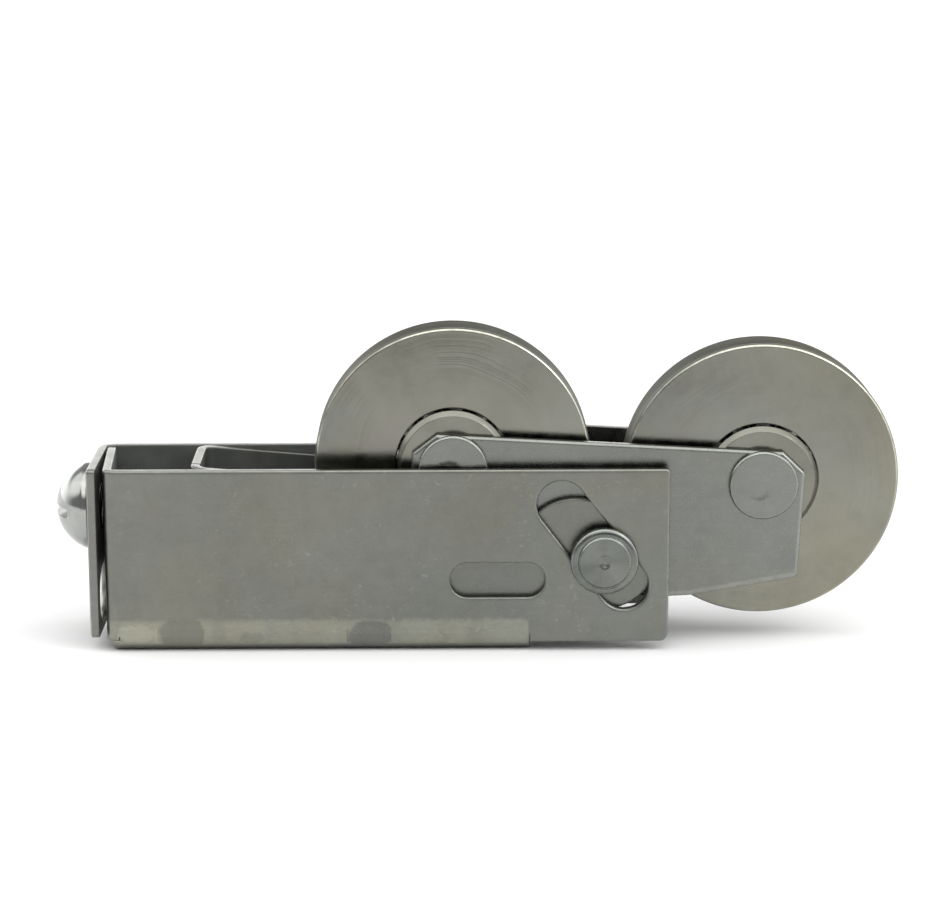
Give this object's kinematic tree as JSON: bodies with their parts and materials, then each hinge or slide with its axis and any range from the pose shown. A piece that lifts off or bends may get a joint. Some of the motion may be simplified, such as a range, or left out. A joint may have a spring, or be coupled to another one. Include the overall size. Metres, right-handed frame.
{
  "type": "adjustable tandem sliding door roller",
  "caption": "Steel housing with a rocking truck that carries ball bearing wheels in line, raised or lowered by an end screw along sloping slots.",
  "frame": {"origin": "middle of the outer face of the housing web", "axes": "+Z from the web towards the wheels, +X from the adjusting screw along the housing, Y across the wheels"},
  "size_m": [0.1166, 0.0214, 0.0442],
  "materials": {
    "zinc_sheet": "dull zinc plated sheet steel",
    "yoke_sheet": "dull zinc plated sheet steel",
    "truck_sheet": "zinc plated sheet steel with a passivated tint",
    "wheel_steel": "turned steel, zinc plated, faint turned arcs",
    "rivet_steel": "turned and peened steel",
    "race_steel": "ground steel",
    "ball_steel": "polished hardened steel",
    "screw_plate": "bright zinc plating"
  },
  "bodies": {
    "housing": {"housing": "zinc_sheet"},
    "screw": {"adjusting_screw": "screw_plate"},
    "pin": {"pivot_pin": "rivet_steel", "pivot_washer": "rivet_steel"},
    "yoke": {"adjuster_yoke": "yoke_sheet"},
    "truck": {"truck_plate_front": "truck_sheet", "truck_plate_back": "truck_sheet", "pivot_spacer": "rivet_steel", "left_race_front": "race_steel", "left_race_back": "race_steel", "right_race_front": "race_steel", "right_race_back": "race_steel", "left_axle_rivet": "rivet_steel", "right_axle_rivet": "rivet_steel"},
    "left_wheel": {"left_wheel": "wheel_steel"},
    "right_wheel": {"right_wheel": "wheel_steel"},
    "left_balls": {"left_balls": "ball_steel"},
    "right_balls": {"right_balls": "ball_steel"}
  },
  "joints": [
    {"name": "height_adjust", "type": "slide", "parent": "housing", "child": "pin", "axis": [-0.6042, 0, 0.7968], "range_m": [-0.002, 0.0088]},
    {"name": "screw_turn", "type": "hinge", "parent": "housing", "child": "screw", "pos_m": [-0.0318, 0, 0.0189], "axis": [1, 0, 0], "range_deg": [-350, 1520]},
    {"name": "yoke_tilt", "type": "hinge", "parent": "pin", "child": "yoke", "pos_m": [0.03885, 0, 0.01297], "axis": [0, -1, 0], "range_deg": [-1.7, 7.3]},
    {"name": "truck_rock", "type": "hinge", "parent": "pin", "child": "truck", "pos_m": [0.03885, 0, 0.01297], "axis": [0, -1, 0], "range_deg": [-3.9, 6.6]},
    {"name": "left_wheel_spin", "type": "hinge", "parent": "truck", "child": "left_wheel", "pos_m": [0.01821, 0, 0.02519], "axis": [0, 1, 0], "continuous": true},
    {"name": "right_wheel_spin", "type": "hinge", "parent": "truck", "child": "right_wheel", "pos_m": [0.06071, 0, 0.02285], "axis": [0, 1, 0], "continuous": true},
    {"name": "left_ball_orbit", "type": "hinge", "parent": "truck", "child": "left_balls", "pos_m": [0.01821, 0, 0.02519], "axis": [0, 1, 0], "continuous": true},
    {"name": "right_ball_orbit", "type": "hinge", "parent": "truck", "child": "right_balls", "pos_m": [0.06071, 0, 0.02285], "axis": [0, 1, 0], "continuous": true}
  ],
  "couplings": [
    {"joint": "screw_turn", "follows": "height_adjust", "rad_per_m": 2989.1},
    {"joint": "yoke_tilt", "follows": "height_adjust", "rad_per_m": 14.2},
    {"joint": "left_ball_orbit", "follows": "left_wheel_spin", "ratio": 0.63},
    {"joint": "right_ball_orbit", "follows": "right_wheel_spin", "ratio": 0.63}
  ]
}
